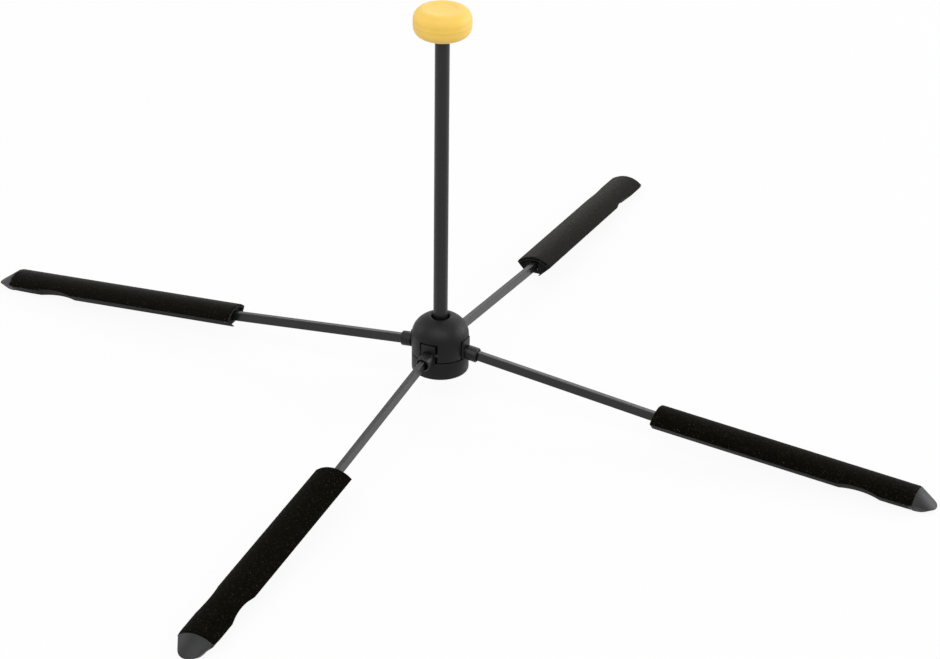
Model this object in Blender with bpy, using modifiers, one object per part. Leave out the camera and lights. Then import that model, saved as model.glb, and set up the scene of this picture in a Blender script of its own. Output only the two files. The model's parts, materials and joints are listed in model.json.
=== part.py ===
"""Folding four-legged instrument stand that packs down to fit inside the instrument's bell.

A slim mast with a soft round cap slides through a domed hub. A cup on the mast's foot closes
the hub from below and holds four folding legs out. Each leg is a flat bar in a hinged socket,
and carries a hollow pad, covered with velvet, whose toe stands on the floor. Each pad is a
quarter of a round, so that the four close round the mast as one padded cylinder.

Metres, +Z up. The origin is on the floor under the mast's axis, and leg 1 points along +X.
"""

import math

import bmesh
import bpy
from mathutils import Matrix, Vector

MM = 0.001

# Fits
SEAT_GAP = 0.3 * MM
PIN_GAP = 0.1 * MM
SLIDE_GAP = 0.15 * MM
LAP = 0.1 * MM

# Legs
LEG_COUNT = 4
LEG_SLOPE = math.radians(6.3)
PIN_RADIUS = 1.0 * MM
PIN_WALL = 0.8 * MM
EYE_RADIUS = 3.0 * MM
EYE_GAP = 2.53 * MM
NECK_WIDTH = 8.3 * MM
NECK_HEIGHT = 5.2 * MM
GROOVE_DEPTH = 0.9 * MM
FACE_BACK = 0.5 * MM
FACE_PROUD = 0.2 * MM
FACE_GAP = 0.5 * MM
TAIL_GAP = 0.7 * MM
TAIL_HEIGHT = 3.0 * MM
SLEEVE_RADIUS = 4.15 * MM
SLEEVE_GAP = 0.7 * MM
SLEEVE_LENGTH = 6.7 * MM
SLEEVE_EDGE = 0.5 * MM
ROD_WIDTH = 3.0 * MM
ROD_HEIGHT = 5.4 * MM
ROD_EDGE = 0.45 * MM
ROD_HOLD = 37.3 * MM

# Pads
PAD_START = 130.7 * MM
PAD_LENGTH = 160.2 * MM
PAD_RISE = 5.53 * MM
PAD_TILT = math.radians(1.8)
PAD_RADIUS = 14.9 * MM
PAD_WALL = 1.5 * MM
MAST_ROOM = 0.3 * MM
END_RECESS = 2.4 * MM
END_RIM = 0.7 * MM
VELVET = 0.6 * MM
VELVET_INSET = 0.5 * MM
SCOOP_TO_TOE = 30.1 * MM
SCOOP_LENGTH = 23.0 * MM
SCOOP_DEPTH = 1.75 * MM
SCOOP_WALL = 0.9 * MM
BOSS_START = 16.0 * MM
BOSS_WIDTH = 6.4 * MM
BOSS_WALL = 1.2 * MM
BOSS_RELIEF = 0.4 * MM

# Toes
TOE_LENGTH = 11.3 * MM
TOE_DEPTH = 9.0 * MM
TOE_INSET = 1.0 * MM
TOE_HALF_WIDTH = 7.7 * MM
TOE_RIM_DROP = 4.4 * MM
TOE_TIP_DROP = 7.1 * MM
TOE_POWER = 2.2
FOOT_LENGTH = 7.5 * MM
FOOT_FLARE = 0.3 * MM
FOOT_RELIEF = 0.2 * MM
FOOT_POWER = 2.6

# Hub
PIVOT_INSET = 3.67 * MM
DOME_RISE = 12.5 * MM
DOME_SHOULDER = 6.0 * MM
DOME_HOLE_GAP = 1.03 * MM
DOME_HOLE_EDGE = 1.2 * MM
SEAM_DROP = 4.6 * MM
SEAM_GAP = 0.7 * MM
WINDOW_WIDTH = 10.6 * MM
WINDOW_RISE = 6.7 * MM
BUSH_WALL = 2.65 * MM
BUSH_RISE = 12.5 * MM
FLANGE_REACH = 2.0 * MM
FLANGE_HEIGHT = 1.2 * MM

# Mast
TUBE_RADIUS = 4.0 * MM
TUBE_WALL = 1.0 * MM
CUP_HEIGHT = 10.35 * MM
CUP_WALL = 1.8 * MM
CUP_FLOOR = 2.5 * MM
CUP_EDGE = 0.9 * MM
CUP_LIP_EDGE = 0.3 * MM
CUP_BOSS_WALL = 2.7 * MM
CUP_BOSS_HEIGHT = 4.0 * MM
CUP_WEB = 1.5 * MM
INSERT_WALL = 0.65 * MM
SCREW_HEAD_RIM = 2.0 * MM
SCREW_HEAD_HEIGHT = 1.9 * MM
SCREW_HEAD_EDGE = 0.9 * MM
SCREW_LENGTH = 9.0 * MM
SCREW_TIP_EDGE = 0.5 * MM
SCREW_SOCKET_RADIUS = 1.6 * MM
SCREW_SOCKET_DEPTH = 1.1 * MM
WASHER_RIM = 2.4 * MM
WASHER_HEIGHT = 0.6 * MM
INSERT_LENGTH = 8.0 * MM
CAP_RADIUS = 15.76 * MM
CAP_HEIGHT = 15.4 * MM
CAP_EDGE = 5.75 * MM
CAP_CLEARANCE = 169.4 * MM
CAP_DISH_RADIUS = 8.5 * MM
CAP_DISH_DEPTH = 0.4 * MM
CAP_DISH_BLEND = 2.0 * MM
CAP_DISH_EDGE = 0.8 * MM
CAP_SOCKET = 9.5 * MM
CAP_PLUG_RADIUS = 9.0 * MM
CAP_PLUG_FLANGE = 2.0 * MM
CAP_PLUG_LENGTH = 12.0 * MM

# Facets
HUB_STEPS = 48
TUBE_STEPS = 24
PIN_STEPS = 16
ARC_STEPS = 4
DOME_STEPS = 12
PAD_ARC_STEPS = 16
NOSE_STEPS = 10
SCOOP_STEPS = 160
CAP_ARC_STEPS = 6

# Worked-out places, all measured from the floor and from the mast's axis
PAD_SLOPE = LEG_SLOPE - PAD_TILT
PAD_HALF_ANGLE = math.pi / LEG_COUNT
PAD_DEPTH = PAD_RADIUS - TUBE_RADIUS - MAST_ROOM
VELVET_SEAT = VELVET + SEAT_GAP
TOE_START = PAD_LENGTH - TOE_LENGTH
ROD_END = PAD_START + ROD_HOLD
HUB_CENTRE = (
    PAD_START * math.sin(LEG_SLOPE)
    - PAD_RISE * math.cos(LEG_SLOPE)
    + PAD_LENGTH * math.sin(PAD_SLOPE)
    + TOE_DEPTH * math.cos(PAD_SLOPE)
)
BUSH_RADIUS = TUBE_RADIUS + SLIDE_GAP + BUSH_WALL
FLANGE_RADIUS = BUSH_RADIUS + FLANGE_REACH
PIVOT_RADIUS = BUSH_RADIUS + EYE_GAP + EYE_RADIUS
HUB_RADIUS = PIVOT_RADIUS + PIVOT_INSET
PIVOT_REACH = PIVOT_RADIUS / math.cos(LEG_SLOPE)
PIVOT_HEIGHT = HUB_CENTRE - PIVOT_REACH * math.sin(LEG_SLOPE)
PIN_SEAT_REACH = math.sqrt((HUB_RADIUS - PIN_WALL) ** 2 - (PIVOT_RADIUS + PIN_RADIUS + PIN_GAP) ** 2)
PIN_HALF_LENGTH = PIN_SEAT_REACH - SEAT_GAP
TAIL_LENGTH = PIVOT_RADIUS - BUSH_RADIUS - TAIL_GAP
SLEEVE_START = HUB_RADIUS + SLEEVE_GAP
SLEEVE_END = SLEEVE_START + SLEEVE_LENGTH
DOME_BOTTOM = HUB_CENTRE - SEAM_DROP + SEAM_GAP / 2
DOME_HOLE_RADIUS = TUBE_RADIUS + DOME_HOLE_GAP
DOME_RIM = HUB_CENTRE + DOME_SHOULDER + DOME_RISE * math.sqrt(1 - (DOME_HOLE_RADIUS / HUB_RADIUS) ** 2)
CUP_TOP = HUB_CENTRE - SEAM_DROP - SEAM_GAP / 2
CUP_BOTTOM = CUP_TOP - CUP_HEIGHT
BUSH_TOP = HUB_CENTRE + BUSH_RISE
FLANGE_TOP = PIVOT_HEIGHT - TAIL_HEIGHT / 2 - SEAT_GAP
TUBE_BORE = TUBE_RADIUS - TUBE_WALL
SCREW_RADIUS = TUBE_BORE - SLIDE_GAP - INSERT_WALL - SEAT_GAP
SCREW_HEAD_RADIUS = SCREW_RADIUS + SCREW_HEAD_RIM
SCREW_HOLE = SCREW_RADIUS + SEAT_GAP
WASHER_RADIUS = SCREW_HOLE + WASHER_RIM
WEB_TOP = CUP_BOTTOM + CUP_FLOOR + CUP_BOSS_HEIGHT - WASHER_HEIGHT - SCREW_HEAD_HEIGHT + SEAT_GAP
WEB_BOTTOM = WEB_TOP - CUP_WEB
TUBE_BOTTOM = WEB_TOP + SEAT_GAP
CAP_BOTTOM = DOME_RIM - DOME_HOLE_EDGE + CAP_CLEARANCE
TUBE_TOP = CAP_BOTTOM + CAP_SOCKET - SEAT_GAP

PART = bpy.data.collections.new("instrument_stand")
CUTTERS = bpy.data.collections.new("cutters")


def clear_scene():
    """Start from an empty scene with the two collections."""
    for obj in list(bpy.data.objects):
        bpy.data.objects.remove(obj, do_unlink=True)
    bpy.context.scene.collection.children.link(PART)
    bpy.context.scene.collection.children.link(CUTTERS)


def make_material(name, color, roughness, metallic=0.0):
    """A Principled material with one colour, roughness and metallic value."""
    material = bpy.data.materials.new(name)
    material.use_nodes = True
    shader = material.node_tree.nodes["Principled BSDF"]
    shader.inputs["Base Color"].default_value = (*color, 1.0)
    shader.inputs["Roughness"].default_value = roughness
    shader.inputs["Metallic"].default_value = metallic
    return material


def fillet(corners, steps=ARC_STEPS):
    """An outline from (x, y, radius) corners, with each corner rounded by its radius."""
    points = []
    for index, (x, y, radius) in enumerate(corners):
        corner = Vector((x, y))
        before = Vector(corners[index - 1][:2]) - corner
        after = Vector(corners[(index + 1) % len(corners)][:2]) - corner
        if radius == 0:
            points.append((x, y))
            continue
        half = before.angle(after) / 2
        reach = radius / math.tan(half)
        start = corner + before.normalized() * reach
        end = corner + after.normalized() * reach
        centre = corner + (before.normalized() + after.normalized()).normalized() * radius / math.sin(half)
        first = start - centre
        sweep = first.angle_signed(end - centre)
        for step in range(steps + 1):
            turned_point = Matrix.Rotation(-sweep * step / steps, 2) @ first
            points.append(tuple(centre + turned_point))
    return points


def add_object(name, mesh, collection, material=None):
    """Link a mesh to a collection as a named object."""
    obj = bpy.data.objects.new(name, mesh)
    collection.objects.link(obj)
    if material is not None:
        mesh.materials.clear()
        mesh.materials.append(material)
    if collection is CUTTERS:
        obj.hide_render = True
        obj.display_type = "WIRE"
    return obj


def welded(obj):
    """The evaluated mesh of an object in world space, welded and facing out, with the object removed."""
    bpy.context.view_layer.update()
    depsgraph = bpy.context.evaluated_depsgraph_get()
    mesh = bpy.data.meshes.new_from_object(obj.evaluated_get(depsgraph))
    mesh.transform(obj.matrix_world)
    bpy.data.objects.remove(obj, do_unlink=True)
    shape = bmesh.new()
    shape.from_mesh(mesh)
    bmesh.ops.remove_doubles(shape, verts=shape.verts, dist=0.001 * MM)
    bmesh.ops.recalc_face_normals(shape, faces=shape.faces)
    shape.to_mesh(mesh)
    shape.free()
    return mesh


def smooth(mesh, angle=30.0):
    """Smooth shading with edges kept sharp past an angle in degrees."""
    mesh.shade_smooth()
    mesh.set_sharp_from_angle(angle=math.radians(angle))


def turned(name, profile, steps, collection, material=None, closed=True):
    """A profile of (radius, height) points, top to bottom on its outer side, turned about Z."""
    count = len(profile)
    edges = [(i, (i + 1) % count) for i in range(count if closed else count - 1)]
    mesh = bpy.data.meshes.new(name)
    mesh.from_pydata([(radius, 0, height) for radius, height in profile], edges, [])
    obj = add_object(name, mesh, collection, material)
    screw = obj.modifiers.new("turn", "SCREW")
    screw.axis = "Z"
    screw.steps = steps
    screw.render_steps = steps
    screw.use_merge_vertices = True
    screw.merge_threshold = 0.001 * MM
    return obj


def slab_mesh(outline, low, high, across):
    """A closed outline extruded from low to high.

    across says what the outline's X, its Y and the extrusion run along, such as "xzy".
    """
    curve = bpy.data.curves.new("outline", "CURVE")
    curve.dimensions = "2D"
    curve.fill_mode = "BOTH"
    curve.extrude = (high - low) / 2
    spline = curve.splines.new("POLY")
    spline.points.add(len(outline) - 1)
    for point, (x, y) in zip(spline.points, outline):
        point.co = (x, y, 0, 1)
    spline.use_cyclic_u = True
    obj = bpy.data.objects.new("outline", curve)
    CUTTERS.objects.link(obj)
    mesh = welded(obj)
    frame = Matrix.Identity(4)
    for column, axis in enumerate(across):
        frame.col[column] = [1.0 if letter == axis else 0.0 for letter in "xyz"] + [0.0]
    shift = Vector([(high + low) / 2 if letter == across[2] else 0.0 for letter in "xyz"])
    mesh.transform(Matrix.Translation(shift) @ frame)
    if frame.determinant() < 0:
        mesh.flip_normals()
    return mesh


def cylinder_mesh(radius, length, steps, frame):
    """A cylinder about the frame's Z axis, centred on its origin."""
    mesh = bpy.data.meshes.new("cylinder")
    shape = bmesh.new()
    bmesh.ops.create_cone(shape, cap_ends=True, segments=steps, radius1=radius, radius2=radius, depth=length)
    shape.to_mesh(mesh)
    shape.free()
    mesh.transform(frame)
    return mesh


def box_mesh(low, high):
    """A box between two corners."""
    mesh = bpy.data.meshes.new("box")
    shape = bmesh.new()
    bmesh.ops.create_cube(shape, size=1.0)
    shape.to_mesh(mesh)
    shape.free()
    low, high = Vector(low), Vector(high)
    mesh.transform(Matrix.Translation((low + high) / 2) @ Matrix.Diagonal((*(high - low), 1.0)))
    return mesh


def combine(obj, mesh, operation, name):
    """Add a Boolean with a mesh that is kept as a cutter object."""
    cutter = add_object(name, mesh, CUTTERS)
    modifier = obj.modifiers.new(name, "BOOLEAN")
    modifier.operation = operation
    modifier.solver = "EXACT"
    modifier.object = cutter
    return cutter


def finished(obj):
    """The final mesh of an object whose Booleans are done, with its cutters removed."""
    cutters = [modifier.object for modifier in obj.modifiers if modifier.type == "BOOLEAN"]
    mesh = welded(obj)
    for cutter in cutters:
        bpy.data.objects.remove(cutter, do_unlink=True)
    smooth(mesh)
    return mesh


# Leg pieces are drawn in the rod's frame: X runs out along the rod from the pivot and Z up from its axis
ROD_FRAME = Matrix.Rotation(LEG_SLOPE, 4, "Y")
# Pad pieces are drawn in the pad's frame: X runs out along the crest from its inner end and Z up from it
PAD_FRAME = (
    ROD_FRAME
    @ Matrix.Translation((PAD_START - PIVOT_REACH, 0, PAD_RISE))
    @ Matrix.Rotation(-PAD_TILT, 4, "Y")
)
ACROSS = Matrix.Rotation(math.pi / 2, 4, "X")
ALONG = Matrix.Rotation(math.pi / 2, 4, "Y")


def socket_mesh():
    """The hinged socket: an eye on the pin, a tail that is its stop, a block that fills the window,
    and a round sleeve behind a narrow groove.
    """
    start = SLEEVE_START - PIVOT_REACH
    end = SLEEVE_END - PIVOT_REACH
    sleeve = turned(
        "sleeve",
        [
            (0, end),
            (SLEEVE_RADIUS - SLEEVE_EDGE, end),
            (SLEEVE_RADIUS, end - SLEEVE_EDGE),
            (SLEEVE_RADIUS, start + SLEEVE_EDGE),
            (SLEEVE_RADIUS - SLEEVE_EDGE, start),
            (0, start),
        ],
        TUBE_STEPS,
        CUTTERS,
        closed=False,
    )
    sleeve.rotation_euler = (0, math.pi / 2, 0)
    mesh = welded(sleeve)
    obj = add_object("socket", mesh, CUTTERS)
    width = NECK_WIDTH / 2
    inside = width - GROOVE_DEPTH
    neck = box_mesh((0, -inside, -NECK_HEIGHT / 2), (start + SLEEVE_EDGE + LAP, inside, NECK_HEIGHT / 2))
    combine(obj, neck, "UNION", "neck")
    face_top = HUB_CENTRE + WINDOW_RISE - FACE_GAP - PIVOT_HEIGHT
    face_front = HUB_RADIUS + FACE_PROUD - PIVOT_RADIUS
    face = box_mesh((FACE_BACK, -width, DOME_BOTTOM - PIVOT_HEIGHT), (face_front, width, face_top))
    face.transform(ROD_FRAME.inverted())
    combine(obj, face, "UNION", "face")
    eye = cylinder_mesh(EYE_RADIUS, NECK_WIDTH, TUBE_STEPS, ACROSS)
    combine(obj, eye, "UNION", "eye")
    tail = box_mesh((-TAIL_LENGTH, -width, -TAIL_HEIGHT / 2), (0, width, TAIL_HEIGHT / 2))
    tail.transform(ROD_FRAME.inverted())
    combine(obj, tail, "UNION", "tail")
    hole = cylinder_mesh(PIN_RADIUS + PIN_GAP, 2 * NECK_WIDTH, PIN_STEPS, ACROSS)
    combine(obj, hole, "DIFFERENCE", "pin_hole")
    bore_radius = math.hypot(ROD_WIDTH, ROD_HEIGHT) / 2 + SEAT_GAP
    bore = cylinder_mesh(bore_radius, 2 * (end - start), TUBE_STEPS, ALONG)
    bore.transform(Matrix.Translation((start + end - start, 0, 0)))
    combine(obj, bore, "DIFFERENCE", "rod_bore")
    mesh = finished(obj)
    mesh.transform(ROD_FRAME)
    return mesh


def rod_mesh():
    """The flat bar, from the bottom of its socket to its seat in the pad."""
    start = SLEEVE_START - PIVOT_REACH + SEAT_GAP
    mesh = box_mesh(
        (start, -ROD_WIDTH / 2, -ROD_HEIGHT / 2),
        (ROD_END - PIVOT_REACH, ROD_WIDTH / 2, ROD_HEIGHT / 2),
    )
    obj = add_object("rod", mesh, CUTTERS)
    bevel = obj.modifiers.new("edges", "BEVEL")
    bevel.width = ROD_EDGE
    bevel.segments = 3
    mesh = welded(obj)
    smooth(mesh)
    mesh.transform(ROD_FRAME)
    return mesh


def pad_section(radius, inset, bottom):
    """A pad's section as a width and height outline: an arc, two slanted sides and a flat bottom.

    The sides lie inset from the planes on which closed pads meet, which hold the arc's centre.
    """
    limit = PAD_HALF_ANGLE - math.asin(inset / radius)
    half = (PAD_RADIUS + bottom) * math.tan(PAD_HALF_ANGLE) - inset / math.cos(PAD_HALF_ANGLE)
    outline = [(half, bottom), (-half, bottom)]
    for step in range(PAD_ARC_STEPS + 1):
        angle = -limit + 2 * limit * step / PAD_ARC_STEPS
        outline.append((radius * math.sin(angle), radius * math.cos(angle) - PAD_RADIUS))
    return outline


def floor_height(along):
    """The floor's height in the pad's frame, at a place along the crest."""
    return -TOE_DEPTH - (PAD_LENGTH - along) * math.tan(PAD_SLOPE)


def nose(length, half_width, power):
    """Points of a blunt rounded end, as places along and across, from one side to the other."""
    points = []
    for step in range(-NOSE_STEPS, NOSE_STEPS + 1):
        angle = math.pi / 2 * step / NOSE_STEPS
        along = length * abs(math.cos(angle)) ** (2 / power)
        across = half_width * math.copysign(abs(math.sin(angle)) ** (2 / power), angle)
        points.append((along, across))
    return points


def toe_mesh():
    """The solid toe: the hull of the pad's section, drawn in at its sides, a rounded rim and a flat foot."""
    floor = floor_height(TOE_START)
    foot_half = (PAD_RADIUS + floor) * math.tan(PAD_HALF_ANGLE) + FOOT_FLARE
    points = [(TOE_START, width, height) for width, height in pad_section(PAD_RADIUS, TOE_INSET, floor)]
    for along, across in nose(TOE_LENGTH, TOE_HALF_WIDTH, TOE_POWER):
        drop = TOE_RIM_DROP + (TOE_TIP_DROP - TOE_RIM_DROP) * along / TOE_LENGTH
        points.append((TOE_START + along, across, -drop))
    for along, across in nose(FOOT_LENGTH, foot_half, FOOT_POWER):
        points.append((TOE_START + along, across, floor_height(TOE_START + along)))
    mesh = bpy.data.meshes.new("toe")
    shape = bmesh.new()
    for point in points:
        shape.verts.new(point)
    hull = bmesh.ops.convex_hull(shape, input=shape.verts)
    unused = set(hull["geom_interior"] + hull["geom_unused"])
    unused = [item for item in unused if isinstance(item, bmesh.types.BMVert)]
    bmesh.ops.delete(shape, geom=unused, context="VERTS")
    bmesh.ops.recalc_face_normals(shape, faces=shape.faces)
    shape.to_mesh(mesh)
    shape.free()
    return mesh


def cut_scoops(obj, wall=0.0):
    """Cut the shallow finger scoop out of both slanted sides, and as much more as a wall."""
    radius = (SCOOP_LENGTH**2 / 4 + SCOOP_DEPTH**2) / (2 * SCOOP_DEPTH)
    out = radius - SCOOP_DEPTH
    middle = TOE_START - SCOOP_TO_TOE
    for side in (-1, 1):
        place = Matrix.Translation(
            (middle, side * math.cos(PAD_HALF_ANGLE) * out, -PAD_RADIUS - math.sin(PAD_HALF_ANGLE) * out)
        )
        frame = place @ Matrix.Rotation(-side * PAD_HALF_ANGLE, 4, "X")
        scoop = cylinder_mesh(radius + wall, 4 * PAD_RADIUS, SCOOP_STEPS, frame)
        combine(obj, scoop, "DIFFERENCE", f"{obj.name}_scoop_{side}")


def shell_mesh():
    """The hollow pad shell: a recessed core with its end wall, a solid toe and the rod's boss."""
    core_end = TOE_START + LAP
    core = slab_mesh(pad_section(PAD_RADIUS - VELVET_SEAT, 0, -PAD_DEPTH), 0, core_end, "yzx")
    obj = add_object("shell", core, CUTTERS)
    before = -PAD_WALL
    after = core_end + PAD_WALL
    above_floor = slab_mesh(
        [
            (before, PAD_WALL),
            (after, PAD_WALL),
            (after, floor_height(after) + FOOT_RELIEF),
            (before, floor_height(before) + FOOT_RELIEF),
        ],
        -PAD_RADIUS,
        PAD_RADIUS,
        "xzy",
    )
    combine(obj, above_floor, "INTERSECT", "above_floor")
    combine(obj, toe_mesh(), "UNION", "toe")
    inner = pad_section(PAD_RADIUS - VELVET_SEAT - PAD_WALL, PAD_WALL, -PAD_DEPTH - LAP)
    wall_end = END_RECESS + PAD_WALL
    mouth = pad_section(PAD_RADIUS - VELVET_SEAT - END_RIM, END_RIM, -PAD_DEPTH - LAP)
    hollow = add_object("hollow_form", slab_mesh(inner, wall_end, TOE_START - PAD_WALL, "yzx"), CUTTERS)
    cut_scoops(hollow, SCOOP_WALL)
    combine(obj, finished(hollow), "DIFFERENCE", "hollow")
    combine(obj, slab_mesh(mouth, -PAD_WALL, END_RECESS, "yzx"), "DIFFERENCE", "end_recess")
    boss_top = -VELVET_SEAT - PAD_WALL + SEAT_GAP
    boss = box_mesh(
        (BOSS_START, -BOSS_WIDTH / 2, -PAD_DEPTH + BOSS_RELIEF),
        (ROD_HOLD + SEAT_GAP + BOSS_WALL, BOSS_WIDTH / 2, boss_top),
    )
    combine(obj, boss, "UNION", "boss")
    rod_in_pad = PAD_FRAME.inverted() @ ROD_FRAME
    pad_place = PAD_START - PIVOT_REACH
    half_width = ROD_WIDTH / 2 + SEAT_GAP
    half_height = ROD_HEIGHT / 2 + SEAT_GAP
    pocket = box_mesh(
        (pad_place - PAD_WALL, -half_width, -half_height),
        (pad_place + ROD_HOLD + SEAT_GAP, half_width, half_height),
    )
    pocket.transform(rod_in_pad)
    combine(obj, pocket, "DIFFERENCE", "rod_pocket")
    cut_scoops(obj)
    mesh = finished(obj)
    mesh.transform(PAD_FRAME)
    return mesh


def cover_mesh():
    """The velvet over the pad's arc, from its inner end to the toe."""
    outer = pad_section(PAD_RADIUS, 0, -PAD_DEPTH)[2:]
    under = pad_section(PAD_RADIUS - VELVET, 0, -PAD_DEPTH)[2:]
    ring = slab_mesh(outer + under[::-1], VELVET_INSET, TOE_START - SEAT_GAP, "yzx")
    obj = add_object("cover", ring, CUTTERS)
    cut_scoops(obj)
    mesh = finished(obj)
    mesh.transform(PAD_FRAME)
    return mesh


def build_legs(materials):
    """Four legs, each with its pieces under an empty on its hinge axis."""
    pieces = {
        "leg_socket": (socket_mesh(), materials["socket"]),
        "leg_rod": (rod_mesh(), materials["rod"]),
        "pad_shell": (shell_mesh(), materials["shell"]),
        "pad_cover": (cover_mesh(), materials["velvet"]),
    }
    pin = cylinder_mesh(PIN_RADIUS, 2 * PIN_HALF_LENGTH, PIN_STEPS, ACROSS)
    smooth(pin)
    pieces["hinge_pin"] = (pin, materials["steel"])
    for index in range(LEG_COUNT):
        azimuth = 2 * math.pi * index / LEG_COUNT
        pivot = bpy.data.objects.new(f"leg_{index + 1}_pivot", None)
        pivot.location = (PIVOT_RADIUS * math.cos(azimuth), PIVOT_RADIUS * math.sin(azimuth), PIVOT_HEIGHT)
        pivot.rotation_euler = (0, 0, azimuth)
        PART.objects.link(pivot)
        for name, (mesh, material) in pieces.items():
            piece = add_object(f"{name}_{index + 1}", mesh, PART, material)
            piece.parent = pivot


def build_dome(material):
    """The domed hub body, with a ring of windows for the legs and blind seats for the pins."""
    outer = []
    for step in range(DOME_STEPS):
        angle = math.pi / 2 * (step + 1) / DOME_STEPS
        radius = DOME_HOLE_RADIUS + (HUB_RADIUS - DOME_HOLE_RADIUS) * math.sin(angle)
        rise = DOME_RISE * math.sqrt(max(0.0, 1 - (radius / HUB_RADIUS) ** 2))
        outer.append((radius, HUB_CENTRE + DOME_SHOULDER + rise, 0))
    bore = BUSH_RADIUS + SEAT_GAP
    corners = [(DOME_HOLE_RADIUS, DOME_RIM, DOME_HOLE_EDGE)]
    corners += outer
    corners += [
        (HUB_RADIUS, DOME_BOTTOM, 0),
        (FLANGE_RADIUS + SEAT_GAP, DOME_BOTTOM, 0),
        (FLANGE_RADIUS + SEAT_GAP, FLANGE_TOP + SEAT_GAP, 0),
        (bore, FLANGE_TOP + SEAT_GAP, 0),
        (bore, BUSH_TOP + SEAT_GAP, 0),
        (DOME_HOLE_RADIUS, BUSH_TOP + SEAT_GAP, 0),
    ]
    dome = turned("hub_dome", fillet(corners), HUB_STEPS, PART, material)
    half = WINDOW_WIDTH / 2
    low = DOME_BOTTOM - HUB_RADIUS
    high = HUB_CENTRE + WINDOW_RISE
    for index in range(LEG_COUNT):
        turn = Matrix.Rotation(2 * math.pi * index / LEG_COUNT, 4, "Z")
        window = box_mesh((0, -half, low), (2 * HUB_RADIUS, half, high))
        window.transform(turn)
        combine(dome, window, "DIFFERENCE", f"window_{index + 1}")
        place = turn @ Matrix.Translation((PIVOT_RADIUS, 0, PIVOT_HEIGHT)) @ ACROSS
        seat = cylinder_mesh(PIN_RADIUS + PIN_GAP, 2 * PIN_SEAT_REACH, PIN_STEPS, place)
        combine(dome, seat, "DIFFERENCE", f"pin_seat_{index + 1}")


def build_bush(material):
    """The bush that guides the mast, with the flange that the legs' tails rest on."""
    inner = TUBE_RADIUS + SLIDE_GAP
    profile = [
        (inner, BUSH_TOP),
        (BUSH_RADIUS, BUSH_TOP),
        (BUSH_RADIUS, FLANGE_TOP),
        (FLANGE_RADIUS, FLANGE_TOP),
        (FLANGE_RADIUS, FLANGE_TOP - FLANGE_HEIGHT),
        (inner, FLANGE_TOP - FLANGE_HEIGHT),
    ]
    turned("guide_bush", profile, HUB_STEPS, PART, material)


def build_tube(material):
    """The mast's tube."""
    profile = [
        (TUBE_BORE, TUBE_TOP),
        (TUBE_RADIUS, TUBE_TOP),
        (TUBE_RADIUS, TUBE_BOTTOM),
        (TUBE_BORE, TUBE_BOTTOM),
    ]
    turned("mast_tube", profile, TUBE_STEPS, PART, material)


def build_cup(material):
    """The cup that closes the hub: a thin wall, a floor, and a boss that holds the tube's foot."""
    floor_top = CUP_BOTTOM + CUP_FLOOR
    boss_top = floor_top + CUP_BOSS_HEIGHT
    collar = TUBE_RADIUS + SEAT_GAP
    counterbore = WASHER_RADIUS + SEAT_GAP
    inner = HUB_RADIUS - CUP_WALL
    corners = [
        (inner, CUP_TOP, CUP_LIP_EDGE),
        (HUB_RADIUS, CUP_TOP, CUP_LIP_EDGE),
        (HUB_RADIUS, CUP_BOTTOM, CUP_EDGE),
        (counterbore, CUP_BOTTOM, 0),
        (counterbore, WEB_BOTTOM, 0),
        (SCREW_HOLE, WEB_BOTTOM, 0),
        (SCREW_HOLE, WEB_TOP, 0),
        (collar, WEB_TOP, 0),
        (collar, boss_top, 0),
        (collar + CUP_BOSS_WALL, boss_top, 0),
        (collar + CUP_BOSS_WALL, floor_top, 0),
        (inner, floor_top, 0),
    ]
    turned("cup", fillet(corners), HUB_STEPS, PART, material)


def build_foot_fixings(materials):
    """The threaded insert in the tube's foot, the screw and the washer that hold the cup."""
    insert_radius = TUBE_BORE - SLIDE_GAP
    insert_bottom = TUBE_BOTTOM
    profile = [
        (SCREW_HOLE, insert_bottom + INSERT_LENGTH),
        (insert_radius, insert_bottom + INSERT_LENGTH),
        (insert_radius, insert_bottom),
        (SCREW_HOLE, insert_bottom),
    ]
    turned("tube_insert", profile, TUBE_STEPS, PART, materials["steel"])
    washer_top = WEB_BOTTOM - SEAT_GAP
    washer_bottom = washer_top - WASHER_HEIGHT
    profile = [
        (SCREW_HOLE, washer_top),
        (WASHER_RADIUS, washer_top),
        (WASHER_RADIUS, washer_bottom),
        (SCREW_HOLE, washer_bottom),
    ]
    turned("cup_washer", profile, TUBE_STEPS, PART, materials["steel"])
    head_top = washer_bottom - SEAT_GAP
    head_bottom = head_top - SCREW_HEAD_HEIGHT
    corners = [
        (0, head_top + SCREW_LENGTH, 0),
        (SCREW_RADIUS, head_top + SCREW_LENGTH, SCREW_TIP_EDGE),
        (SCREW_RADIUS, head_top, 0),
        (SCREW_HEAD_RADIUS, head_top, 0),
        (SCREW_HEAD_RADIUS, head_bottom, SCREW_HEAD_EDGE),
        (0, head_bottom, 0),
    ]
    screw = turned("cup_screw", fillet(corners), TUBE_STEPS, PART, materials["steel"], closed=False)
    place = Matrix.Translation((0, 0, head_bottom))
    socket = cylinder_mesh(SCREW_SOCKET_RADIUS, 2 * SCREW_SOCKET_DEPTH, 6, place)
    combine(screw, socket, "DIFFERENCE", "hex_socket")


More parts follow.
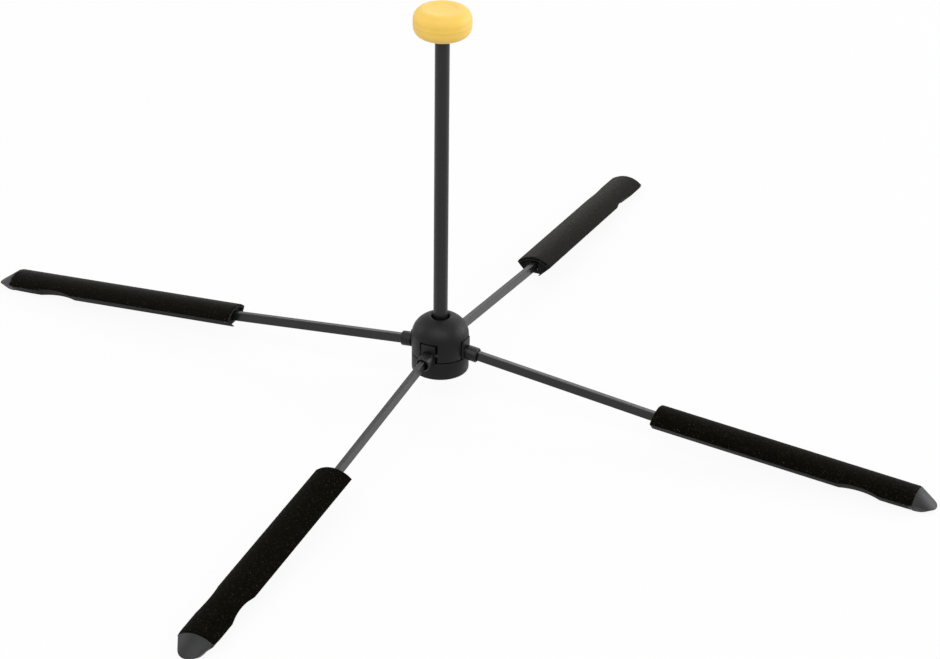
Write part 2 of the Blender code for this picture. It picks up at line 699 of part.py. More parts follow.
def build_cap(materials):
    """The soft cap and the flanged plug that holds it in the top of the tube."""
    top = CAP_BOTTOM + CAP_HEIGHT
    hole = TUBE_RADIUS + SEAT_GAP
    plug_bottom = CAP_BOTTOM + CAP_SOCKET
    plug_top = plug_bottom + CAP_PLUG_FLANGE
    cavity = CAP_PLUG_RADIUS + SEAT_GAP
    corners = [
        (0, top - CAP_DISH_DEPTH, 0),
        (CAP_DISH_RADIUS - CAP_DISH_BLEND, top - CAP_DISH_DEPTH, CAP_DISH_BLEND),
        (CAP_DISH_RADIUS, top, CAP_DISH_EDGE),
        (CAP_RADIUS, top, CAP_EDGE),
        (CAP_RADIUS, CAP_BOTTOM, CAP_EDGE),
        (hole, CAP_BOTTOM, 0),
        (hole, plug_bottom - SEAT_GAP, 0),
        (cavity, plug_bottom - SEAT_GAP, 0),
        (cavity, plug_top + SEAT_GAP, 0),
        (0, plug_top + SEAT_GAP, 0),
    ]
    turned("cap", fillet(corners, CAP_ARC_STEPS), HUB_STEPS, PART, materials["cap"], closed=False)
    stem = TUBE_BORE - SLIDE_GAP
    profile = [
        (0, plug_top),
        (CAP_PLUG_RADIUS, plug_top),
        (CAP_PLUG_RADIUS, plug_bottom),
        (stem, plug_bottom),
        (stem, plug_bottom - CAP_PLUG_LENGTH),
        (0, plug_bottom - CAP_PLUG_LENGTH),
    ]
    turned("cap_plug", profile, TUBE_STEPS, PART, materials["hub"], closed=False)


def build():
    clear_scene()
    materials = {
        "hub": make_material("hub_plastic", (0.040, 0.041, 0.042), 0.55),
        "socket": make_material("socket_plastic", (0.035, 0.036, 0.037), 0.45),
        "shell": make_material("pad_plastic", (0.055, 0.056, 0.058), 0.6),
        "velvet": make_material("velvet", (0.006, 0.006, 0.006), 0.95),
        "rod": make_material("rod_lacquer", (0.035, 0.036, 0.038), 0.32, 0.2),
        "tube": make_material("tube_lacquer", (0.030, 0.031, 0.032), 0.42, 0.2),
        "steel": make_material("zinc_steel", (0.55, 0.56, 0.57), 0.35, 1.0),
        "cap": make_material("yellow_rubber", (0.87, 0.62, 0.20), 0.6),
    }
    build_dome(materials["hub"])
    build_bush(materials["hub"])
    build_legs(materials)
    build_tube(materials["tube"])
    build_cup(materials["hub"])
    build_foot_fixings(materials)
    build_cap(materials)


build()
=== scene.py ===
"""The looks of the folding instrument stand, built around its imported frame.

Metres, +Z up, with the origin on the floor under the mast's axis and leg 1 along +X.
"""

import json
import math
import random

import bmesh
import bpy
from mathutils import Matrix, Vector, noise


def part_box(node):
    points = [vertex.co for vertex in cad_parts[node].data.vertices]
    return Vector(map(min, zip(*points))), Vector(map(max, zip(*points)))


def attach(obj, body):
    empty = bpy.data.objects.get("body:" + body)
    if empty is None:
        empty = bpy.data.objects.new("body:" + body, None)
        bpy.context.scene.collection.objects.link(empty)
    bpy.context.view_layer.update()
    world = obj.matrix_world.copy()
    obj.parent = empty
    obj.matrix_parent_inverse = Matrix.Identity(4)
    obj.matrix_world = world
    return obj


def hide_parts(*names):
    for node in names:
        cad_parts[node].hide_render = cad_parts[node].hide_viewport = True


MM = 0.001
LEG_COUNT = 4

# Camera: turned about the mast from leg 1, raised above the floor, and rolled a little
CAMERA_TURN = math.radians(24.426)
CAMERA_RISE = math.radians(29.292)
CAMERA_ROLL = math.radians(0.724)
CAMERA_PLACE = Vector((602.8, -1287.4, 836.4)) * MM
CAMERA_LENS = 112.13
CAMERA_SENSOR = 36.0

# Stage and light. Each soft box has its place as the camera sees it, its power and its size
FLOOR_SIZE = 40.0
FLOOR_GREY = (0.75, 0.75, 0.75, 1.0)
FLOOR_DROP = 0.05 * MM
FLOOR_SHADOW = 0.08
WORLD_LEVEL = 0.36
WHITE = (1.0, 1.0, 1.0, 1.0)
SOFT_BOXES = {
    "overhead": ((0.15, 0.9, 1.8), 4.5, (1.3, 1.0)),
    "front": ((-0.2, -1.2, 1.6), 30.0, (2.6, 1.5)),
    "right": ((1.6, 0.45, 0.55), 18.0, (1.4, 0.95)),
    "left": ((-1.75, 0.5, 0.8), 7.0, (0.9, 1.2)),
    "back": ((0.35, 1.7, 1.1), 7.0, (1.7, 0.42)),
}

# Each finish drifts between two tones
HUB_TONES = ((0.0016, 0.0017, 0.0018), (0.0026, 0.0027, 0.0028))
SOCKET_TONES = ((0.004, 0.0041, 0.0042), (0.006, 0.0061, 0.0062))
PAD_TONES = ((0.008, 0.0082, 0.0084), (0.012, 0.0123, 0.0126))
VELVET_TONES = ((0.0012, 0.001, 0.0002), (0.0026, 0.0022, 0.0007))
LINT_TONE = (0.065, 0.065, 0.063)
FIBRE_TONES = ((0.01, 0.01, 0.01), (0.3, 0.3, 0.29))
ROD_TONES = ((0.006, 0.0062, 0.0064), (0.009, 0.0092, 0.0095))
TUBE_TONES = ((0.004, 0.0041, 0.0043), (0.006, 0.0062, 0.0064))
ZINC_TONES = ((0.46, 0.47, 0.48), (0.62, 0.63, 0.64))
RUBBER_TONES = ((0.78, 0.49, 0.06), (0.82, 0.525, 0.08))

# The pads' place on their legs, and the velvet's reach along them
LEG_SLOPE = math.radians(6.3)
PAD_START = 130.7 * MM
PAD_RISE = 5.53 * MM
PAD_TILT = math.radians(1.8)
PAD_RADIUS = 14.9 * MM
PAD_HALF_ANGLE = math.pi / LEG_COUNT
VELVET_START = 0.12 * MM
VELVET_END = 148.65 * MM

# The pad shells' moulding turns from matte to smooth over a short way at the toe
TOE_REACH = (PAD_START + VELVET_END) * math.cos(LEG_SLOPE)
TOE_BLEND = 2 * MM
TOE_ROUGHNESS = 0.5
SIDE_ROUGHNESS = 1.0

# The velvet's section, its nap, the taper at the toe and the finger scoops
VELVET_THICKNESS = 0.82 * MM
VELVET_PROUD = 0.3 * MM
VELVET_EDGE = 0.6 * MM
VELVET_EDGE_DROP = 0.3 * MM
VELVET_NAP = 0.05 * MM
VELVET_NAP_SIZE = 1.6 * MM
NAP_FINE_SHARE = 0.6
NAP_FINE_RATIO = 2.7
VELVET_TAPER = 0.8 * MM
VELVET_TAPER_LENGTH = 6.0 * MM
VELVET_LEAN = 0.25
VELVET_CREASE = math.radians(50)
SCOOP_MIDDLE = 118.8 * MM
SCOOP_LENGTH = 23.0 * MM
SCOOP_DEPTH = 1.75 * MM
VELVET_STEPS_ALONG = 200
VELVET_STEPS_ACROSS = 32

# Loose fibres along the velvet's cut edges
FIBRE_SIDES = 3
FIBRE_RADIUS = 0.07 * MM
FIBRE_TIP = 0.4
FIBRE_LENGTHS = (0.3 * MM, 1.1 * MM)
FIBRE_ROOT_DEPTHS = (0.25 * MM, 0.5 * MM)
FIBRE_ROOT_SPREAD = 0.5 * MM
FIBRE_SPAN = 0.98 * PAD_HALF_ANGLE
FIBRE_INSET = 0.02
FIBRE_OUT = 0.7
FIBRE_DOWN = 0.5
FIBRE_LEAN = 0.6
FIBRE_LIFTS = (0.1, 0.9)
TOE_FIBRES = 110
END_FIBRES = 30
SIDE_FIBRES = 70

# Cap
CAP_STEPS = 128
CAP_ARC_STEPS = 16
CAP_EDGE = 5.75 * MM
CAP_DISH_FLAT = 6.9 * MM
CAP_DISH_SLOPE = 2.2 * MM
CAP_DISH_DEPTH = 0.4 * MM
CAP_DISH_STEPS = 8
CAP_HOLE_ROUNDING = 0.4 * MM
CAP_HOLE_STEPS = 4
CAP_CLEARANCE = 0.3 * MM
CAP_LINE_HALF = 0.22 * MM
CAP_LINE_CREST = CAP_LINE_HALF / 3
CAP_LINE_RISE = 0.06 * MM

# Rounding of the rigid pieces' edges
DOME_ROUNDING = 0.3 * MM
CUP_ROUNDING = 0.15 * MM
SOCKET_ROUNDING = 0.22 * MM
SHELL_ROUNDING = 0.28 * MM
SMALL_ROUNDING = 0.12 * MM
ROUNDING_STEPS = 3
ROUNDING_ANGLE = math.radians(28)
FACET_ANGLE = math.radians(0.6)
WELD = 0.001 * MM


class Nodes:
    """A material's node tree, with short calls for the nodes that the finishes share."""

    def __init__(self, name):
        self.material = bpy.data.materials.new(name)
        self.material.use_nodes = True
        self.tree = self.material.node_tree
        self.shader = self.tree.nodes["Principled BSDF"]
        self.place = self.add("ShaderNodeTexCoord").outputs["Object"]

    def add(self, kind, **settings):
        node = self.tree.nodes.new(kind)
        for key, value in settings.items():
            setattr(node, key, value)
        return node

    def link(self, output, target):
        self.tree.links.new(output, target)

    def noise(self, scale, detail, roughness, distortion=0.0):
        """Noise with features of about 1 / scale metres."""
        node = self.add("ShaderNodeTexNoise")
        node.inputs["Scale"].default_value = scale
        node.inputs["Detail"].default_value = detail
        node.inputs["Roughness"].default_value = roughness
        node.inputs["Distortion"].default_value = distortion
        self.link(self.place, node.inputs["Vector"])
        return node.outputs["Fac"]

    def spread(self, value, low=0.0, high=1.0, from_low=0.3, from_high=0.7):
        """A value spread over a new range. Most of a noise lies between 0.3 and 0.7."""
        node = self.add("ShaderNodeMapRange")
        node.inputs["From Min"].default_value = from_low
        node.inputs["From Max"].default_value = from_high
        node.inputs["To Min"].default_value = low
        node.inputs["To Max"].default_value = high
        self.link(value, node.inputs["Value"])
        return node.outputs["Result"]

    def blend(self, factor, first, second):
        """A colour between two, each given as a triple or as an output."""
        node = self.add("ShaderNodeMix", data_type="RGBA")
        self.link(factor, node.inputs[0])
        for socket, color in ((node.inputs[6], first), (node.inputs[7], second)):
            if isinstance(color, tuple):
                socket.default_value = (*color, 1.0)
            else:
                self.link(color, socket)
        return node.outputs[2]

    def bump(self, height, distance, strength, below=None):
        """A bump from a height, over another normal."""
        node = self.add("ShaderNodeBump")
        node.inputs["Strength"].default_value = strength
        node.inputs["Distance"].default_value = distance
        self.link(height, node.inputs["Height"])
        if below is not None:
            self.link(below, node.inputs["Normal"])
        return node.outputs["Normal"]

    def vector(self, operation, *values):
        """A vector operation on outputs and constant triples."""
        node = self.add("ShaderNodeVectorMath", operation=operation)
        for socket, value in zip(node.inputs, values):
            if isinstance(value, tuple):
                socket.default_value = value
            else:
                self.link(value, socket)
        return node.outputs["Vector"]

    def leaning(self, lean):
        """The surface's normal, leaned away from the mast as a brushed pile leans."""
        outward = self.vector("NORMALIZE", self.vector("MULTIPLY", self.place, (1.0, 1.0, 0.0)))
        turn = self.add("ShaderNodeVectorTransform", convert_from="OBJECT", convert_to="WORLD")
        turn.vector_type = "VECTOR"
        self.link(self.vector("MULTIPLY", outward, (lean, lean, lean)), turn.inputs[0])
        straight = self.add("ShaderNodeNewGeometry").outputs["Normal"]
        return self.vector("NORMALIZE", self.vector("ADD", straight, turn.outputs[0]))

    def finish(self, color, roughness, normal=None, metallic=0.0, **constants):
        """Connect the shader. A number goes on its socket, and an output is linked."""
        for name, value in (("Base Color", color), ("Roughness", roughness)):
            if isinstance(value, tuple):
                self.shader.inputs[name].default_value = (*value, 1.0)
            elif isinstance(value, float):
                self.shader.inputs[name].default_value = value
            else:
                self.link(value, self.shader.inputs[name])
        if normal is not None:
            self.link(normal, self.shader.inputs["Normal"])
        self.shader.inputs["Metallic"].default_value = metallic
        for name, value in constants.items():
            self.shader.inputs[name.replace("_", " ")].default_value = value
        return self.material


def moulded(name, tones, roughness, shine):
    """Moulded plastic: a spark-eroded grain, and a slow drift of tone and gloss."""
    nodes = Nodes(name)
    drift = nodes.noise(scale=60.0, detail=4.0, roughness=0.6)
    fine = nodes.noise(scale=2600.0, detail=2.0, roughness=0.6)
    color = nodes.blend(nodes.spread(drift), *tones)
    wear = nodes.noise(scale=240.0, detail=3.0, roughness=0.6)
    gloss = nodes.spread(wear, roughness - 0.05, roughness + 0.06)
    grain = nodes.bump(fine, distance=0.02 * MM, strength=0.6)
    return nodes.finish(color, gloss, grain, Specular_IOR_Level=shine)


def pad_moulding(name):
    """Moulded plastic of the pad shells: matte along the sides, smoother on the toe."""
    nodes = Nodes(name)
    drift = nodes.noise(scale=60.0, detail=4.0, roughness=0.6)
    fine = nodes.noise(scale=1300.0, detail=2.0, roughness=0.6)
    color = nodes.blend(nodes.spread(drift), *PAD_TONES)
    reach = nodes.add("ShaderNodeVectorMath", operation="LENGTH")
    nodes.link(nodes.vector("MULTIPLY", nodes.place, (1.0, 1.0, 0.0)), reach.inputs[0])
    blend = {"from_low": TOE_REACH - TOE_BLEND, "from_high": TOE_REACH}
    gloss = nodes.spread(reach.outputs["Value"], SIDE_ROUGHNESS, TOE_ROUGHNESS, **blend)
    grain = nodes.bump(fine, distance=0.06 * MM, strength=0.6)
    return nodes.finish(color, gloss, grain, Specular_IOR_Level=0.27)


def lacquer(name, tones, roughness):
    """Lacquer on steel: a faint orange peel and a slow drift of gloss."""
    nodes = Nodes(name)
    peel = nodes.noise(scale=900.0, detail=2.0, roughness=0.5)
    drift = nodes.noise(scale=90.0, detail=4.0, roughness=0.6)
    color = nodes.blend(nodes.spread(drift), *tones)
    wear = nodes.noise(scale=420.0, detail=3.0, roughness=0.6)
    gloss = nodes.spread(wear, roughness - 0.05, roughness + 0.07)
    skin = nodes.bump(peel, distance=0.01 * MM, strength=0.5)
    return nodes.finish(color, gloss, skin, Specular_IOR_Level=0.36)


def velvet(name):
    """Black velvet: a pile of fine fibres, with pale specks of lint."""
    nodes = Nodes(name)
    pile = nodes.noise(scale=3400.0, detail=4.0, roughness=0.75)
    brushed = nodes.noise(scale=130.0, detail=4.0, roughness=0.6, distortion=0.6)
    lint = nodes.noise(scale=2000.0, detail=1.0, roughness=0.5)
    speck = nodes.spread(lint, from_low=0.68, from_high=0.76)
    color = nodes.blend(nodes.spread(brushed), *VELVET_TONES)
    color = nodes.blend(speck, color, LINT_TONE)
    leaning = nodes.leaning(VELVET_LEAN)
    normal = nodes.bump(pile, distance=0.12 * MM, strength=0.9, below=leaning)
    sheen = {"Sheen_Weight": 0.075, "Sheen_Roughness": 0.38, "Sheen_Tint": (1.0, 0.99, 0.94, 1.0)}
    return nodes.finish(color, 0.95, normal, Specular_IOR_Level=0.03, **sheen)


def fibre(name):
    """Loose ends of the velvet and lint caught on its edges, from black to pale grey."""
    nodes = Nodes(name)
    drift = nodes.noise(scale=1400.0, detail=1.0, roughness=0.5)
    pick = nodes.spread(drift, from_low=0.42, from_high=0.62)
    color = nodes.blend(pick, *FIBRE_TONES)
    return nodes.finish(color, 0.9, Specular_IOR_Level=0.2)


def rubber(name):
    """Soft yellow rubber with a fine matte skin."""
    nodes = Nodes(name)
    drift = nodes.noise(scale=70.0, detail=4.0, roughness=0.6)
    color = nodes.blend(nodes.spread(drift), *RUBBER_TONES)
    wear = nodes.noise(scale=500.0, detail=3.0, roughness=0.6)
    gloss = nodes.spread(wear, 0.52, 0.66)
    fine = nodes.noise(scale=2200.0, detail=2.0, roughness=0.6)
    skin = nodes.bump(fine, distance=0.015 * MM, strength=0.5)
    sheen = {"Sheen_Weight": 0.2, "Sheen_Roughness": 0.4}
    return nodes.finish(color, gloss, skin, Specular_IOR_Level=0.75, **sheen)


def zinc(name):
    """Zinc-plated steel with faint turning marks."""
    nodes = Nodes(name)
    drift = nodes.noise(scale=500.0, detail=4.0, roughness=0.6)
    color = nodes.blend(nodes.spread(drift), *ZINC_TONES)
    wear = nodes.noise(scale=1500.0, detail=3.0, roughness=0.6)
    gloss = nodes.spread(wear, 0.28, 0.42)
    turning = nodes.noise(scale=4000.0, detail=2.0, roughness=0.5)
    marks = nodes.bump(turning, distance=0.01 * MM, strength=0.4)
    return nodes.finish(color, gloss, marks, metallic=1.0)


def make_finishes():
    """Every finish, by the material slot of the record."""
    return {
        "hub_plastic": moulded("hub_plastic", HUB_TONES, roughness=0.47, shine=0.2),
        "socket_plastic": moulded("socket_plastic", SOCKET_TONES, roughness=0.4, shine=0.24),
        "pad_plastic": pad_moulding("pad_plastic"),
        "velvet": velvet("velvet"),
        "rod_lacquer": lacquer("rod_lacquer", ROD_TONES, roughness=0.27),
        "tube_lacquer": lacquer("tube_lacquer", TUBE_TONES, roughness=0.33),
        "zinc_steel": zinc("zinc_steel"),
        "yellow_rubber": rubber("yellow_rubber"),
    }


def paint_nodes():
    """Give each CAD node that stays in view the finish of its slot."""
    slots = {row["node"]: row["material_slot"] for row in frame["record"]["subparts"]}
    for name, node in frame["nodes"].items():
        node.data.materials.clear()
        node.data.materials.append(FINISHES[slots[name]])


def add_piece(name, mesh, body, slot_name, nodes=(), material=None):
    """A piece of the scene that rides on a body and stands for CAD nodes."""
    mesh.materials.clear()
    mesh.materials.append(material or FINISHES[slot_name])
    piece = bpy.data.objects.new(name, mesh)
    bpy.context.scene.collection.objects.link(piece)
    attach(piece, body)
    if nodes:
        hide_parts(*nodes)
    return piece


def soften(name, node, body, slot_name, rounding):
    """A copy of a CAD node's form with its edges rounded, standing for the node."""
    mesh = frame["nodes"][node].data.copy()
    shape = bmesh.new()
    shape.from_mesh(mesh)
    bmesh.ops.remove_doubles(shape, verts=shape.verts, dist=WELD)
    bmesh.ops.dissolve_limit(shape, angle_limit=FACET_ANGLE, verts=shape.verts, edges=shape.edges)
    shape.to_mesh(mesh)
    shape.free()
    mesh.shade_smooth()
    piece = add_piece(name, mesh, body, slot_name, [node])
    bevel = piece.modifiers.new("edges", "BEVEL")
    bevel.width = rounding
    bevel.segments = ROUNDING_STEPS
    bevel.limit_method = "ANGLE"
    bevel.angle_limit = ROUNDING_ANGLE
    bevel.harden_normals = True
    return piece


def turned(name, profile, steps, body, slot_name, nodes):
    """A profile of (radius, height) points, top to bottom on its outer side, turned about the mast."""
    mesh = bpy.data.meshes.new(name)
    edges = [(index, index + 1) for index in range(len(profile) - 1)]
    mesh.from_pydata([(radius, 0, height) for radius, height in profile], edges, [])
    piece = add_piece(name, mesh, body, slot_name, nodes)
    screw = piece.modifiers.new("turn", "SCREW")
    screw.steps = steps
    screw.render_steps = steps
    screw.use_merge_vertices = True
    screw.merge_threshold = WELD
    screw.use_smooth_shade = True
    return piece


def arc(centre, radius, start, end, steps):
    """Points along an arc, with its start and end in degrees."""
    points = []
    for step in range(steps + 1):
        angle = math.radians(start + (end - start) * step / steps)
        points.append((centre[0] + radius * math.cos(angle), centre[1] + radius * math.sin(angle)))
    return points


def build_cap():
    """The soft cap: round edges, a shallow dish on top and a faint moulding line round the middle."""
    low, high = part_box("cap")
    bottom, top, radius = low[2], high[2], high[0]
    middle = (bottom + top) / 2
    _, tube_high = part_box("mast_tube")
    hole = tube_high[0] + CAP_CLEARANCE
    socket_top = tube_high[2] + CAP_CLEARANCE
    round_centre = radius - CAP_EDGE
    profile = [(0, top - CAP_DISH_DEPTH), (CAP_DISH_FLAT, top - CAP_DISH_DEPTH)]
    for step in range(1, CAP_DISH_STEPS + 1):
        share = step / CAP_DISH_STEPS
        ease = share * share * (3 - 2 * share)
        profile.append((CAP_DISH_FLAT + CAP_DISH_SLOPE * share, top - CAP_DISH_DEPTH * (1 - ease)))
    profile += arc((round_centre, top - CAP_EDGE), CAP_EDGE, 90, 0, CAP_ARC_STEPS)
    crest = radius + CAP_LINE_RISE
    profile += [(radius, middle + CAP_LINE_HALF), (crest, middle + CAP_LINE_CREST)]
    profile += [(crest, middle - CAP_LINE_CREST), (radius, middle - CAP_LINE_HALF)]
    profile += arc((round_centre, bottom + CAP_EDGE), CAP_EDGE, 0, -90, CAP_ARC_STEPS)
    lip = CAP_HOLE_ROUNDING
    profile += arc((hole + lip, bottom + lip), lip, -90, -180, CAP_HOLE_STEPS)
    profile += [(hole, socket_top), (0, socket_top)]
    turned("cap_body", profile, CAP_STEPS, "mast", "yellow_rubber", ["cap"])


def pad_frames():
    """Each pad's frame, in the row's frame: X out along the crest from its inner end, Z up from it."""
    joints = frame["record"]["behaviour"]["joints"]
    hinge = next(joint for joint in joints if joint["name"] == "leg_1_hinge")
    radius, _, height = hinge["pos_m"]
    reach = radius / math.cos(LEG_SLOPE)
    in_leg = (
        Matrix.Translation((radius, 0, height))
        @ Matrix.Rotation(LEG_SLOPE, 4, "Y")
        @ Matrix.Translation((PAD_START - reach, 0, PAD_RISE))
        @ Matrix.Rotation(-PAD_TILT, 4, "Y")
    )
    turns = [2 * math.pi * index / LEG_COUNT for index in range(LEG_COUNT)]
    return [Matrix.Rotation(turn, 4, "Z") @ in_leg for turn in turns]


def scoop_depth(along):
    """How deep the finger scoops are at a place along the pad."""
    radius = (SCOOP_LENGTH**2 / 4 + SCOOP_DEPTH**2) / (2 * SCOOP_DEPTH)
    away = along - SCOOP_MIDDLE
    if abs(away) >= SCOOP_LENGTH / 2:
        return 0.0
    return math.sqrt(radius**2 - away**2) - radius + SCOOP_DEPTH


def edge_drop(distance):
    """How far the velvet's face rounds down near a cut edge."""
    share = min(distance / VELVET_EDGE, 1.0)
    return VELVET_EDGE_DROP * (1 - math.sqrt(1 - (1 - share) ** 2))


def velvet_limit(along):
    """The half angle that the velvet covers at a place along the pad. It narrows towards the toe."""
    share = max(0.0, 1 - (VELVET_END - along) / VELVET_TAPER_LENGTH)
    inset = scoop_depth(along) + VELVET_TAPER * share**2
    return PAD_HALF_ANGLE - math.asin(inset / PAD_RADIUS)


def velvet_mesh(name, seed):
    """The velvet on one pad, in the pad's frame: a sheet with a napped face and rounded edges."""
    columns = VELVET_STEPS_ACROSS + 1
    rows = VELVET_STEPS_ALONG + 1
    offset = Vector((seed * 10.0, 0, 0))
    faces = []
    points = []
    for layer in (0, 1):
        for row in range(rows):
            along = VELVET_START + (VELVET_END - VELVET_START) * row / VELVET_STEPS_ALONG
            limit = velvet_limit(along)
            for column in range(columns):
                angle = limit * (2 * column / VELVET_STEPS_ACROSS - 1)
                radius = PAD_RADIUS - VELVET_THICKNESS
                if layer == 0:
                    spot = Vector((along, PAD_RADIUS * angle, 0)) / VELVET_NAP_SIZE + offset
                    aside = (limit - abs(angle)) * PAD_RADIUS
                    edge = min(along - VELVET_START, VELVET_END - along, aside)
                    fine = NAP_FINE_SHARE * noise.noise(spot * NAP_FINE_RATIO)
                    nap = VELVET_NAP * (noise.noise(spot) + fine)
                    radius = PAD_RADIUS + VELVET_PROUD - VELVET_NAP - edge_drop(edge) + nap
                points.append((along, radius * math.sin(angle), radius * math.cos(angle) - PAD_RADIUS))
    size = rows * columns
    for row in range(rows - 1):
        for column in range(columns - 1):
            corner = row * columns + column
            faces.append((corner, corner + columns, corner + columns + 1, corner + 1))
            corner += size
            faces.append((corner, corner + 1, corner + columns + 1, corner + columns))
    rim = list(range(columns))
    rim += [row * columns + columns - 1 for row in range(1, rows)]
    rim += [(rows - 1) * columns + column for column in range(columns - 2, -1, -1)]
    rim += [row * columns for row in range(rows - 2, 0, -1)]
    for here, there in zip(rim, rim[1:] + rim[:1]):
        faces.append((here, there, there + size, here + size))
    mesh = bpy.data.meshes.new(name)
    mesh.from_pydata(points, [], faces)
    shape = bmesh.new()
    shape.from_mesh(mesh)
    bmesh.ops.recalc_face_normals(shape, faces=shape.faces)
    shape.to_mesh(mesh)
    shape.free()
    mesh.shade_smooth()
    mesh.set_sharp_from_angle(angle=VELVET_CREASE)
    return mesh


def fibre_mesh(name, seed):
    """Loose fibres that stand out of the velvet's cut edges, in the pad's frame."""
    draw = random.Random(seed)
    shape = bmesh.new()
    roots = []
    for _ in range(TOE_FIBRES):
        angle = draw.uniform(-FIBRE_SPAN, FIBRE_SPAN)
        along = VELVET_END - draw.uniform(0, FIBRE_ROOT_SPREAD)
        roots.append((along, angle, Vector((1.0, 0, 0))))
    for _ in range(END_FIBRES):
        angle = draw.uniform(-FIBRE_SPAN, FIBRE_SPAN)
        along = VELVET_START + draw.uniform(0, FIBRE_ROOT_SPREAD)
        roots.append((along, angle, Vector((-1.0, 0, 0))))
    for _ in range(SIDE_FIBRES):
        along = draw.uniform(VELVET_START, VELVET_END)
        side = draw.choice((-1, 1))
        angle = side * (velvet_limit(along) - FIBRE_INSET)
        roots.append((along, angle, Vector((0, side * FIBRE_OUT, -FIBRE_DOWN))))
    for along, angle, away in roots:
        up = Vector((0, math.sin(angle), math.cos(angle)))
        root = Vector((along, 0, -PAD_RADIUS)) + up * (PAD_RADIUS - draw.uniform(*FIBRE_ROOT_DEPTHS))
        lean = Vector([draw.uniform(-FIBRE_LEAN, FIBRE_LEAN) for _ in range(3)])
        direction = (away + up * draw.uniform(*FIBRE_LIFTS) + lean).normalized()
        length = draw.uniform(*FIBRE_LENGTHS)
        turn = direction.to_track_quat("Z", "Y").to_matrix().to_4x4()
        place = Matrix.Translation(root + direction * length / 2) @ turn
        bmesh.ops.create_cone(
            shape,
            cap_ends=True,
            segments=FIBRE_SIDES,
            radius1=FIBRE_RADIUS,
            radius2=FIBRE_RADIUS * FIBRE_TIP,
            depth=length,
            matrix=place,
        )
    mesh = bpy.data.meshes.new(name)
    shape.to_mesh(mesh)
    shape.free()
    return mesh


def build_velvet():
    """The velvet and its loose fibres on each pad."""
    lint = fibre("velvet_fibre")
    for index, pad_frame in enumerate(pad_frames()):
        number = index + 1
        mesh = velvet_mesh(f"velvet_{number}", number)
        mesh.transform(pad_frame)
        sheet = add_piece(f"velvet_{number}", mesh, f"leg_{number}", "velvet", [f"pad_cover_{number}"])
        mesh = fibre_mesh(f"velvet_fibres_{number}", number)
        mesh.transform(pad_frame)
        fibres = add_piece(f"velvet_fibres_{number}", mesh, f"leg_{number}", "velvet", material=lint)


def build_rigid():
    """The rigid pieces whose edges show, each with its edges rounded."""
    soften("dome", "hub_dome", "hub", "hub_plastic", DOME_ROUNDING)
    soften("cup_body", "cup", "mast", "hub_plastic", CUP_ROUNDING)
    soften("screw_head", "cup_screw", "mast", "zinc_steel", SMALL_ROUNDING)
    for index in range(LEG_COUNT):
        number = index + 1
        body = f"leg_{number}"
        soften(f"socket_{number}", f"leg_socket_{number}", body, "socket_plastic", SOCKET_ROUNDING)
        soften(f"shell_{number}", f"pad_shell_{number}", body, "pad_plastic", SHELL_ROUNDING)


def add_camera():
    """The photograph's view: from above the floor between legs 1 and 4, through a long lens."""
    turn = Matrix.Rotation(CAMERA_TURN, 3, "Z")
    right = turn @ Vector((1, 0, 0))
    up = turn @ Vector((0, math.sin(CAMERA_RISE), math.cos(CAMERA_RISE)))
    back = turn @ Vector((0, -math.cos(CAMERA_RISE), math.sin(CAMERA_RISE)))
    across = right * math.cos(CAMERA_ROLL) + up * math.sin(CAMERA_ROLL)
    upward = up * math.cos(CAMERA_ROLL) - right * math.sin(CAMERA_ROLL)
    data = bpy.data.cameras.new("camera")
    data.lens = CAMERA_LENS
    data.sensor_width = CAMERA_SENSOR
    camera = bpy.data.objects.new("camera", data)
    axes = Matrix((across, upward, back)).transposed()
    camera.matrix_world = Matrix.Translation(CAMERA_PLACE) @ axes.to_4x4()
    bpy.context.scene.collection.objects.link(camera)
    bpy.context.scene.camera = camera


def seen_directly(tree):
    """1 for rays that show the background: from the camera, and in glossy and clear surfaces."""
    path = tree.nodes.new("ShaderNodeLightPath")
    seen = path.outputs["Is Camera Ray"]
    for name in ("Is Glossy Ray", "Is Transmission Ray"):
        either = tree.nodes.new("ShaderNodeMath")
        either.operation = "MAXIMUM"
        tree.links.new(seen, either.inputs[0])
        tree.links.new(path.outputs[name], either.inputs[1])
        seen = either.outputs[0]
    return seen


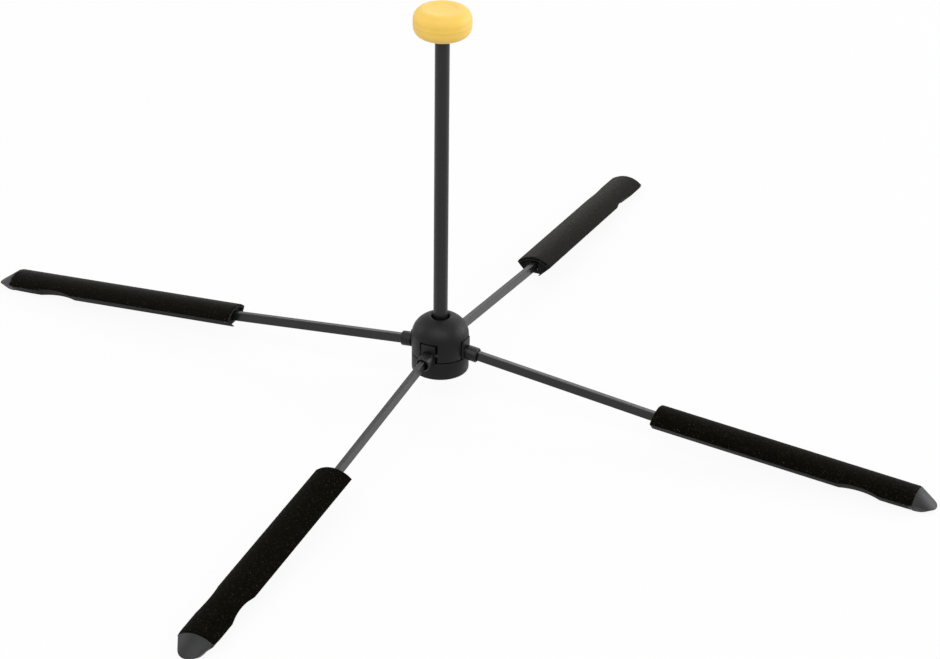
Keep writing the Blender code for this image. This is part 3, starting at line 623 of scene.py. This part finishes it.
def add_floor():
    """A white floor that keeps a soft part of the shadow."""
    mesh = bpy.data.meshes.new("floor")
    half = FLOOR_SIZE / 2
    corners = [(-half, -half, 0), (half, -half, 0), (half, half, 0), (-half, half, 0)]
    mesh.from_pydata(corners, [], [(0, 1, 2, 3)])
    floor = bpy.data.objects.new("floor", mesh)
    bpy.context.scene.collection.objects.link(floor)
    material = bpy.data.materials.new("floor_white")
    material.use_nodes = True
    tree = material.node_tree
    tree.nodes.clear()
    diffuse = tree.nodes.new("ShaderNodeBsdfDiffuse")
    diffuse.inputs["Color"].default_value = FLOOR_GREY
    glow = tree.nodes.new("ShaderNodeEmission")
    glow.inputs["Color"].default_value = WHITE
    both = tree.nodes.new("ShaderNodeMixShader")
    share = tree.nodes.new("ShaderNodeMath")
    share.operation = "MULTIPLY"
    share.inputs[1].default_value = 1.0 - FLOOR_SHADOW
    tree.links.new(seen_directly(tree), share.inputs[0])
    tree.links.new(share.outputs[0], both.inputs[0])
    tree.links.new(diffuse.outputs[0], both.inputs[1])
    tree.links.new(glow.outputs[0], both.inputs[2])
    output = tree.nodes.new("ShaderNodeOutputMaterial")
    tree.links.new(both.outputs[0], output.inputs["Surface"])
    mesh.materials.append(material)
    floor.location.z = -FLOOR_DROP


def add_world():
    """A pale room: white where it is seen, and plain soft light everywhere else."""
    world = bpy.data.worlds.new("studio")
    bpy.context.scene.world = world
    world.use_nodes = True
    tree = world.node_tree
    tree.nodes.clear()
    room = tree.nodes.new("ShaderNodeBackground")
    room.inputs["Color"].default_value = WHITE
    room.inputs["Strength"].default_value = WORLD_LEVEL
    white = tree.nodes.new("ShaderNodeBackground")
    white.inputs["Color"].default_value = WHITE
    both = tree.nodes.new("ShaderNodeMixShader")
    tree.links.new(seen_directly(tree), both.inputs[0])
    tree.links.new(room.outputs[0], both.inputs[1])
    tree.links.new(white.outputs[0], both.inputs[2])
    output = tree.nodes.new("ShaderNodeOutputWorld")
    tree.links.new(both.outputs[0], output.inputs["Surface"])


def add_lamps():
    """The soft boxes, each facing the hub."""
    for name, (place, power, size) in SOFT_BOXES.items():
        data = bpy.data.lights.new(name, "AREA")
        data.shape = "RECTANGLE"
        data.size, data.size_y = size
        data.energy = power
        lamp = bpy.data.objects.new(name, data)
        lamp.location = Matrix.Rotation(CAMERA_TURN, 3, "Z") @ Vector(place)
        lamp.rotation_mode = "QUATERNION"
        lamp.rotation_quaternion = lamp.location.to_track_quat("Z", "Y")
        bpy.context.scene.collection.objects.link(lamp)


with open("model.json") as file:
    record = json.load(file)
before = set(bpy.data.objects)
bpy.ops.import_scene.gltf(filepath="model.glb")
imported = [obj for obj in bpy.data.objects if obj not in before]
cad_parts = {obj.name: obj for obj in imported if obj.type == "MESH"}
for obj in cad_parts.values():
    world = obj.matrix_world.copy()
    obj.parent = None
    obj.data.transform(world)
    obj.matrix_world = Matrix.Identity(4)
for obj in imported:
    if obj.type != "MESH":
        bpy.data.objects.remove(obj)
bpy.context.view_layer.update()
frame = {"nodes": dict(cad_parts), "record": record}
FINISHES = make_finishes()
paint_nodes()
build_rigid()
build_cap()
build_velvet()
add_camera()
add_floor()
add_world()
add_lamps()
bpy.context.scene.view_settings.view_transform = "Standard"
